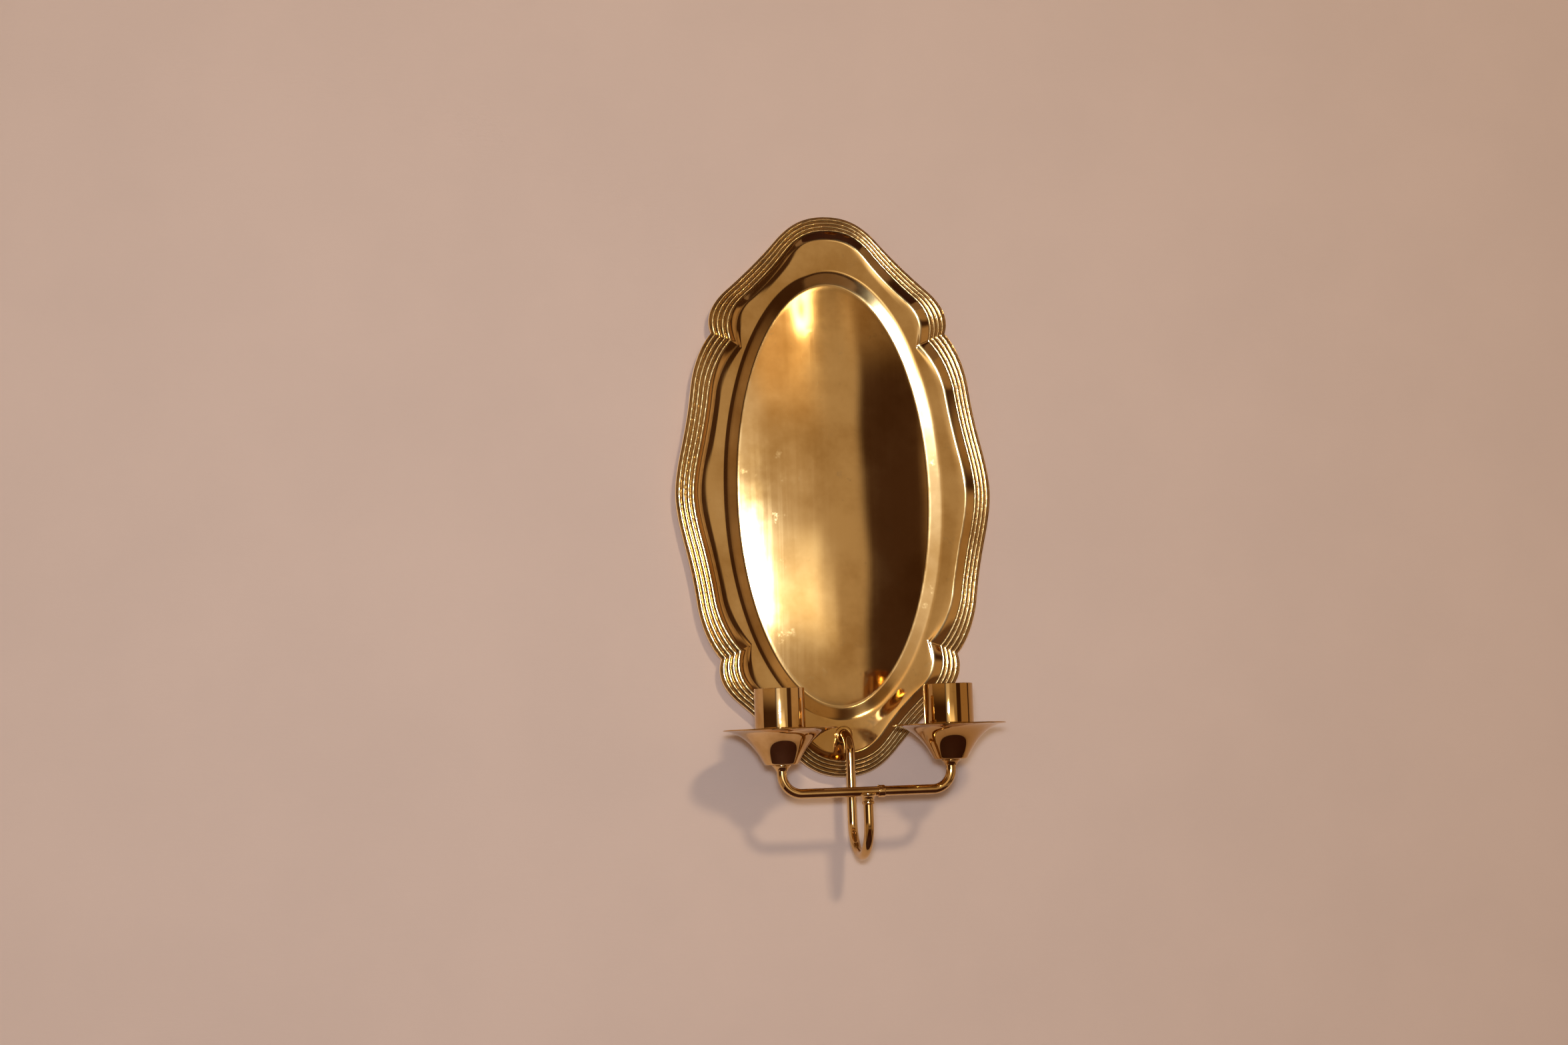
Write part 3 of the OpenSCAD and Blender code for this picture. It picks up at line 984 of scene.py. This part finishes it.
class SCONCE_OT_arm(bpy.types.Operator):
    """Bends the arm from its threaded root to its spigot, with its lock ring"""

    bl_idname = "sconce.arm"
    bl_label = "Arm"

    PITCH = 0.8 * MM
    THREAD = ((0.25, 1.0), (0.25, 1.0), (0.3, 0.86), (0.2, 0.93))

    def execute(self, context):
        s = context.scene.sconce_rod
        low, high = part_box("arm_rod")
        r = (high.x - low.x) / 2
        root_z = high.z - r
        reach = -low.y - r
        u_r = (reach - s.back_leg) / 2
        u_z = low.z + r + u_r
        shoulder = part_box("lock_ring")[0].z
        path = RodPath((0, high.y, root_z), (0, -1, 0), (1, 0, 0), r, s.facets)
        path.ring(r * 0.82)
        path.run(0.35 * MM, r * 0.93)
        thread_end = -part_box("root_nut")[0].y
        turns = int((thread_end + high.y) / self.PITCH)
        for part_of_turn, share_of_radius in max(0, turns) * self.THREAD:
            path.run(self.PITCH * part_of_turn, r * share_of_radius)
        straight = (s.back_leg - s.root_bend) + path.place.y
        path.run(0.05 * MM, r)
        path.run(straight - 0.05 * MM)
        path.bend(s.root_bend, 90)
        path.run(path.place.z - u_z)
        path.bend(u_r, -180, 56)
        path.run(shoulder - u_z - 0.2 * MM)
        path.run(0.2 * MM, r - 0.2 * MM)
        path.run(0.0, s.spigot)
        path.run(bar_axis() + 1.0 * MM - shoulder, s.spigot)
        arm = drawn_out("arm_rod_bent", path.rings)
        fit(arm, "arm_rod", PLATE_BODY, "rod_brass")
        lock = ring_piece("lock_ring_turned", "lock_ring", s.spigot, 0.45 * MM)
        fit(lock, "lock_ring", PLATE_BODY, "rod_brass")
        return {"FINISHED"}


def bar_axis():
    """Height of the crossbar's centre line."""
    low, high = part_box("crossbar_rod")
    return low.z + (high.y - low.y) / 2


class SCONCE_OT_crossbar(bpy.types.Operator):
    """Bends the crossbar, and turns its boss, its sleeve and the collars at its ends"""

    bl_idname = "sconce.crossbar"
    bl_label = "Crossbar"

    def execute(self, context):
        s = context.scene.sconce_rod
        low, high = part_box("crossbar_rod")
        r = (high.y - low.y) / 2
        y = (low.y + high.y) / 2
        axis_z = low.z + r
        path = RodPath((low.x + r, y, high.z), (0, 0, -1), (0, 1, 0), r, s.facets)
        path.ring(r - 0.2 * MM)
        path.run(0.2 * MM, r)
        path.run(high.z - axis_z - s.bar_bend - 0.2 * MM)
        path.bend(s.bar_bend, -90)
        path.run((high.x - low.x) - 2 * r - 2 * s.bar_bend)
        path.bend(s.bar_bend, -90)
        path.run(high.z - axis_z - s.bar_bend - 0.2 * MM)
        path.run(0.2 * MM, r - 0.2 * MM)
        bar = drawn_out("crossbar_rod_bent", path.rings)
        fit(bar, "crossbar_rod", BAR_BODY, "rod_brass")

        centre, extent = foot_of("saddle_boss")
        tall, top_r = extent.z, extent.x / 2
        foot_r = top_r * 0.65
        profile = rounded([
            (s.spigot, 0), (foot_r, 0), (foot_r, tall * 0.22), (foot_r * 1.08, tall * 0.45),
            (top_r, tall * 0.72), (top_r, tall), (r * 1.05, tall), (r * 0.8, tall * 0.9),
            (s.spigot, tall * 0.4),
        ], 0.5 * MM, closed=True)
        boss = turned("saddle_boss_turned", profile, centre)
        fit(boss, "saddle_boss", BAR_BODY, "rod_brass")

        sleeve = ring_piece("bar_sleeve_turned", "bar_sleeve", r, 0.3 * MM)
        fit(sleeve, "bar_sleeve", BAR_BODY, "rod_brass")

        centre, extent = foot_of("left_rod_collar")
        tall, wide = extent.z, extent.x / 2
        profile = rounded([
            (r, 0), (r + 0.5 * MM, 0), (r + 0.75 * MM, tall * 0.3), (wide * 0.86, tall * 0.62),
            (wide, tall * 0.78), (wide, tall), (r, tall),
        ], 0.35 * MM, closed=True)
        left = turned("left_rod_collar_turned", profile, centre)
        shift = middle("right_rod_collar") - middle("left_rod_collar")
        right = copy_of(left, "right_rod_collar_turned", shift)
        for side, collar in zip(SIDES, (left, right)):
            fit(collar, side + "_rod_collar", BAR_BODY, "rod_brass")
        return {"FINISHED"}


# ---------- candle holders ----------


class SCONCE_OT_candle_holders(bpy.types.Operator):
    """Spins the drip pans and cups, and makes the pieces that screw them down"""

    bl_idname = "sconce.candle_holders"
    bl_label = "Candle Holders"

    PAN_CURVE = ((1.0, 0.0), (1.2857, 0.2586), (2.0833, 0.9655), (3.4524, 1.0))

    def execute(self, context):
        s = context.scene.sconce_holder
        for part, build, slot in (
            ("drip_pan_spun", self.pan, "holder_brass"),
            ("candle_cup_drawn", self.cup, "holder_brass"),
            ("spacer_tube", self.spacer, "plain_brass"),
            ("cup_washer_turned", self.washer, "plain_brass"),
            ("cup_screw_slotted", self.screw, "plain_brass"),
        ):
            node = part.rsplit("_", 1)[0]
            left = build("left_" + part, "left_" + node, s)
            right = copy_of(left, "right_" + part, middle("right_" + node) - middle("left_" + node))
            for side, piece in zip(SIDES, (left, right)):
                body = BAR_BODY if node == "cup_screw" else side + "_holder"
                fit(piece, side + "_" + node, body, slot)
        return {"FINISHED"}

    def pan(self, name, node, s):
        centre, extent = foot_of(node)
        tall, wide = extent.z, extent.x / 2
        sheet = s.pan_sheet
        curve = [(u * s.pan_foot, v * tall) for u, v in self.PAN_CURVE]
        curve[3] = (wide, tall)
        steps = 30
        outside = [cubic(curve, i / steps) for i in range(steps + 1)]
        inside = []
        for i in range(1, steps + 1):
            along = (outside[min(i + 1, steps)] - outside[i - 1]).normalized()
            inside.append(outside[i] + Vector((-along.y, along.x)) * sheet)
        lip = [(wide - 0.02 * MM, tall + 0.3 * sheet), (wide - 0.3 * sheet, tall + 0.75 * sheet)]
        profile = [(s.screw_hole, 0), (s.pan_foot - 0.4 * MM, 0), (s.pan_foot - 0.1 * MM, 0.1 * MM)]
        profile += [tuple(p) for p in outside[1:]] + lip
        top = [(p.x, p.y) for p in reversed(inside) if p.x < wide - 0.6 * sheet and p.y > sheet * 1.1]
        profile += top + [(s.pan_foot - sheet, sheet), (s.screw_hole, sheet), (s.screw_hole, 0)]
        drop = max(v for _, v in profile) - tall
        profile = [(u, v - drop * (v / tall) ** 2 if v > 0 else v) for u, v in profile]
        return turned(name, profile, centre, facets=s.facets)

    def cup(self, name, node, s):
        centre, extent = foot_of(node)
        tall, r = extent.z, extent.x / 2
        inner = r - s.cup_wall
        socket = mount_size("left_candle_socket", "length_mm")
        step = tall - socket
        profile = rounded([
            (s.screw_hole, 0), (r, 0), (r, tall), (inner, tall), (inner, step),
            (inner - 2 * MM, s.cup_floor), (s.screw_hole, s.cup_floor),
        ], 0.28 * MM, closed=True)
        return turned(name, profile, centre, facets=s.facets)

    def spacer(self, name, node, s):
        centre, extent = foot_of(node)
        r = extent.x / 2
        corners = [(s.screw_hole, 0), (r, 0), (r, extent.z), (s.screw_hole, extent.z)]
        return turned(name, rounded(corners, 0.1 * MM, closed=True), centre, facets=48)

    def washer(self, name, node, s):
        return ring_piece(name, node, s.screw_hole, 0.12 * MM)

    def screw(self, name, node, s):
        centre, extent = foot_of(node)
        head_r = extent.x / 2
        head = 2 * MM
        tall = extent.z
        shank = 1.5 * MM
        crown = 0.35 * MM
        profile = rounded([
            (0, 0), (shank * 0.7, 0), (shank, 0.6 * MM), (shank, tall - head), (head_r, tall - head),
            (head_r, tall - crown), (head_r * 0.6, tall - crown * 0.25), (0, tall),
        ], 0.25 * MM)
        screw = turned(name, profile, centre, facets=64)
        top = centre + Vector((0, 0, tall))
        slot = start("screw_slot", bpy.ops.mesh.primitive_cube_add, size=head, location=top)
        bpy.ops.transform.resize(value=(3 * head_r / head, s.slot_width / head, 1.0))
        close_up(slot)
        return combine(screw, slot, "DIFFERENCE")


# ---------- stage ----------


class SCONCE_OT_stage(bpy.types.Operator):
    """Sets the wall, the floor, the room's light, the lamps and the camera"""

    bl_idname = "sconce.stage"
    bl_label = "Stage"

    # Where the lens stands, how it is turned (pan, tilt and roll), its focal length and sensor,
    # and how near a thing may be for it to be shown.
    LENS_AT = (-0.3224, -1.3017, -0.2610)
    LENS_TURN = (12.814, 5.39, -1.998)
    FOCAL_LENGTH = 58.16
    SENSOR_WIDTH = 36.0
    NEAREST = 0.05

    # The room as soft windows of light: from and to in degrees to the right of straight
    # out from the wall, low and high above the level, softness, colour and strength.
    ROOM = (
        (-24, 22.5, -11, 23, 1.8, (1.0, 0.76, 0.48), 0.42),
        (-24, 5, -2, 17, 6.0, (1.0, 0.84, 0.66), 0.10),
        (-14, 9, -5, 2.0, 2.2, (1.0, 0.96, 0.84), 0.80),
        (-12, 13, -6, -0.5, 1.3, (1.0, 0.96, 0.84), 0.50),
        (-27, -9, -6, 14, 3.5, (0.84, 0.92, 1.10), 0.42),
        (-16.0, -11.5, 0.8, 4.0, 1.4, (0.90, 1.0, 1.15), 2.5),
        (-104, -30, 6, 34, 4.0, (1.0, 0.66, 0.34), 0.38),
        (-104, -30, -44, -5, 4.0, (1.0, 0.66, 0.34), 0.34),
        (21, 46, 18, 40, 4.0, (1.0, 0.66, 0.32), 0.32),
        (-9, 9, 14, 26, 5.0, (1.0, 0.60, 0.22), 0.46),
        (43.0, 84, -18, 30, 3.0, (1.0, 0.66, 0.36), 0.40),
        (-100, 100, 34, 90, 10.0, (1.0, 0.52, 0.26), 0.08),
        (-180, -118, -60, 90, 8.0, (1.0, 0.85, 0.72), 0.75),
        (118, 180, -60, 90, 8.0, (1.0, 0.85, 0.72), 0.75),
    )
    # What the first five numbers of a window are.
    WINDOW = ("From", "To", "Low", "High", "Softness")
    # The room between its windows, and the plain tone that the lens sees beside the wall.
    DARK = (0.058, 0.026, 0.013)
    PLAIN = (0.60, 0.50, 0.45)
    # The dark card's colour.
    FELT = (0.06, 0.012, 0.004)
    # The wall is clear to rays shorter than this, so that the sconce can be seen from behind.
    CLEAR_WITHIN = 14 * MM

    # The lamps: name, power setting, width and height, colour, and the light they leave out.
    BESIDE_LENS = (
        ("flash", "flash_power", (0.12, 0.08), (0.86, 0.97, 1.18), None),
        ("flash_tube", "glint_power", (0.05, 0.03), (0.82, 0.98, 1.22), "visible_diffuse"),
    )
    OVERHEAD = (
        ("ceiling_lamp", "ceiling_power", (0.24, 0.16), (1.0, 0.84, 0.64), "visible_glossy"),
        ("ceiling_bulb", "bulb_power", (0.10, 0.04), (1.0, 0.86, 0.62), "visible_diffuse"),
    )
    FLASH_RISE = 0.075
    OVERHEAD_AT = (0.24, -2.2, 0.85)

    def execute(self, context):
        context.scene.view_settings.view_transform = "Standard"
        self.room(context)
        self.wall_and_floor(context)
        self.lens(context)
        return {"FINISHED"}

    def window_group(self):
        tree, given, result = new_group(
            "Soft window",
            [(label, "Float", 0.0) for label in ("Turn", "Rise", *self.WINDOW)],
            (("Light", "Float", None),),
        )
        edges = []
        for value, edge, sign in (
            ("Turn", "From", 1.0), ("Turn", "To", -1.0), ("Rise", "Low", 1.0), ("Rise", "High", -1.0),
        ):
            past = times(tree, maths(tree, "SUBTRACT", given[value], given[edge]), sign)
            edges.append(between(tree, maths(tree, "DIVIDE", past, given["Softness"]), -1.0, 1.0))
        light = times(tree, times(tree, edges[0], edges[1]), times(tree, edges[2], edges[3]))
        connect(tree, result, (("Light", light),))

    def room(self, context):
        self.window_group()
        world = bpy.data.worlds.new("Room")
        context.scene.world = world
        world.use_nodes = True
        tree = world.node_tree
        tree.nodes.clear()
        way = place_node(tree, "ShaderNodeTexCoord").outputs["Generated"]
        parts = place_node(tree, "ShaderNodeSeparateXYZ", (("Vector", way),)).outputs
        turn = times(tree, maths(tree, "ARCTAN2", parts["X"], times(tree, parts["Y"], -1.0)), math.degrees(1))
        rise = times(tree, maths(tree, "ARCSINE", parts["Z"]), math.degrees(1))
        total = rgba(self.DARK)
        for *window, tint, strength in self.ROOM:
            edges = zip(self.WINDOW, (float(edge) for edge in window))
            light = grouped(tree, "Soft window", (("Turn", turn), ("Rise", rise), *edges))["Light"]
            lit = rgba([strength * c for c in tint])
            total = blended(tree, light, total, lit, blend_type="ADD", clamp_result=False)
        room_light = context.scene.sconce_stage.room_light
        room, plain = (
            place_node(tree, "ShaderNodeBackground", (("Color", tone), ("Strength", strength))).outputs[0]
            for tone, strength in ((total, room_light), (rgba(self.PLAIN), 1.0))
        )
        seen = place_node(tree, "ShaderNodeLightPath").outputs["Is Camera Ray"]
        mix = place_node(tree, "ShaderNodeMixShader", ((0, seen), (1, room), (2, plain)))
        place_node(tree, "ShaderNodeOutputWorld", (("Surface", mix.outputs[0]),))

    def wall_and_floor(self, context):
        s = context.scene.sconce_stage
        upright = (math.pi / 2, 0, 0)
        wall = self.panel("wall", 4.0, (0, 0.4 * MM, 0.7), self.wall_paint(s), rotation=upright)
        floor = self.panel("floor", 4.0, (0, -2.0, -1.3), self.floor_paint(s))
        card = self.panel("dark_card", 2.4, (0.1, -1.22, -1.24), self.felt())
        card.visible_camera = False
        card.visible_diffuse = False
        card.visible_shadow = False

    @staticmethod
    def panel(name, extent, location, material, **options):
        """A square panel of the stage."""
        panel = start(name, bpy.ops.mesh.primitive_plane_add, size=extent, location=location, **options)
        bpy.ops.mesh.subdivide(number_cuts=4)
        bpy.ops.object.mode_set(mode="OBJECT")
        settle(panel)
        panel.data.materials.append(material)
        return panel

    def felt(self):
        """The stuff of the dark card over the floor, which is seen only in the brass."""
        material, tree, shader = new_material("dark_felt")
        connect(tree, shader, (("Base Color", rgba(self.FELT)), ("Roughness", 1.0)))
        return material

    def wall_paint(self, s):
        """Wall paint that shows its front only, so that the sconce can be seen from behind."""
        material, tree, shader = new_material("wall_paint")
        place = object_place(tree)
        weave = streaks(tree, place, WEAVE)
        inputs = (("Strength", 0.35), ("Distance", 0.25 * MM), ("Height", weave))
        bump = place_node(tree, "ShaderNodeBump", inputs).outputs["Normal"]
        base = blended(tree, mask(tree, place, WALL_TONE), rgba([0.96 * c for c in s.wall]), rgba(s.wall))
        connect(tree, shader, (("Base Color", base), ("Roughness", 0.85), ("Normal", bump)))
        behind = place_node(tree, "ShaderNodeNewGeometry").outputs["Backfacing"]
        path = place_node(tree, "ShaderNodeLightPath").outputs
        near = maths(tree, "LESS_THAN", path["Ray Length"], self.CLEAR_WITHIN)
        clear = maths(tree, "MAXIMUM", behind, maths(tree, "MAXIMUM", near, path["Is Shadow Ray"]))
        air = place_node(tree, "ShaderNodeBsdfTransparent").outputs[0]
        mix = place_node(tree, "ShaderNodeMixShader", ((0, clear), (1, shader.outputs[0]), (2, air)))
        connect(tree, tree.nodes["Material Output"], (("Surface", mix.outputs[0]),))
        return material

    def floor_paint(self, s):
        material, tree, shader = new_material("floor_paint")
        tone = mask(tree, object_place(tree), FLOOR_TONE)
        base = blended(tree, tone, rgba([0.94 * c for c in s.floor]), rgba(s.floor))
        connect(tree, shader, (("Base Color", base), ("Roughness", 0.7)))
        return material

    def lens(self, context):
        s = context.scene.sconce_stage
        pan, tilt, roll = (math.radians(a) for a in self.LENS_TURN)
        ahead = Vector((math.sin(pan) * math.cos(tilt), math.cos(pan) * math.cos(tilt), math.sin(tilt)))
        right = ahead.cross(Vector((0, 0, 1))).normalized()
        up = right.cross(ahead)
        right, up = (
            right * math.cos(roll) + up * math.sin(roll),
            up * math.cos(roll) - right * math.sin(roll),
        )
        turn = Matrix((right, up, -ahead)).transposed()
        data = bpy.data.cameras.new("lens")
        data.lens = self.FOCAL_LENGTH
        data.sensor_width = self.SENSOR_WIDTH
        data.clip_start = self.NEAREST
        camera = bpy.data.objects.new("lens", data)
        context.scene.collection.objects.link(camera)
        camera.matrix_world = Matrix.Translation(self.LENS_AT) @ turn.to_4x4()
        context.scene.camera = camera

        beside_lens = Vector(self.LENS_AT) + up * self.FLASH_RISE
        for place, lamps in ((beside_lens, self.BESIDE_LENS), (Vector(self.OVERHEAD_AT), self.OVERHEAD)):
            for name, setting, extent, tint, left_out in lamps:
                lamp = self.lamp(context, name, place, extent, getattr(s, setting), tint)
                if left_out:
                    setattr(lamp, left_out, False)

    @staticmethod
    def lamp(context, name, place, extent, energy, tint):
        """A rectangular lamp that faces the middle of the plate."""
        data = bpy.data.lights.new(name, "AREA")
        data.shape = "RECTANGLE"
        data.size, data.size_y = extent
        data.energy = energy
        data.color = tint
        lamp = bpy.data.objects.new(name, data)
        context.scene.collection.objects.link(lamp)
        lamp.location = place
        lamp.rotation_mode = "QUATERNION"
        lamp.rotation_quaternion = (middle("back_plate") - place).to_track_quat("-Z", "Y")
        return lamp


# ---------- panel and registration ----------

SETTINGS = (
    ("sconce_plate", PlateSettings),
    ("sconce_rod", RodSettings),
    ("sconce_holder", HolderSettings),
    ("sconce_finish", FinishSettings),
    ("sconce_stage", StageSettings),
)
OPERATORS = (
    SCONCE_OT_finishes,
    SCONCE_OT_back_plate,
    SCONCE_OT_plate_fastenings,
    SCONCE_OT_arm,
    SCONCE_OT_crossbar,
    SCONCE_OT_candle_holders,
    SCONCE_OT_stage,
)


class SCONCE_PT_panel(bpy.types.Panel):
    """Lists the sconce's settings and the operators that build it"""

    bl_idname = "SCONCE_PT_panel"
    bl_label = "Brass Wall Sconce"
    bl_space_type = "VIEW_3D"
    bl_region_type = "UI"
    bl_category = "Sconce"

    def draw(self, context):
        for name, settings in SETTINGS:
            box = self.layout.box()
            for label in settings.__annotations__:
                box.prop(getattr(context.scene, name), label)
        for operator in OPERATORS:
            self.layout.operator(operator.bl_idname)


def register():
    for name, settings in SETTINGS:
        bpy.utils.register_class(settings)
        setattr(bpy.types.Scene, name, PointerProperty(type=settings))
    for made in (*OPERATORS, SCONCE_PT_panel):
        bpy.utils.register_class(made)


def unregister():
    for made in reversed((*OPERATORS, SCONCE_PT_panel)):
        bpy.utils.unregister_class(made)
    for name, settings in reversed(SETTINGS):
        delattr(bpy.types.Scene, name)
        bpy.utils.unregister_class(settings)


def main():
    register()
    bpy.ops.sconce.finishes()
    bpy.ops.sconce.back_plate()
    bpy.ops.sconce.plate_fastenings()
    bpy.ops.sconce.arm()
    bpy.ops.sconce.crossbar()
    bpy.ops.sconce.candle_holders()
    bpy.ops.sconce.stage()


if __name__ == "__main__":
    main()
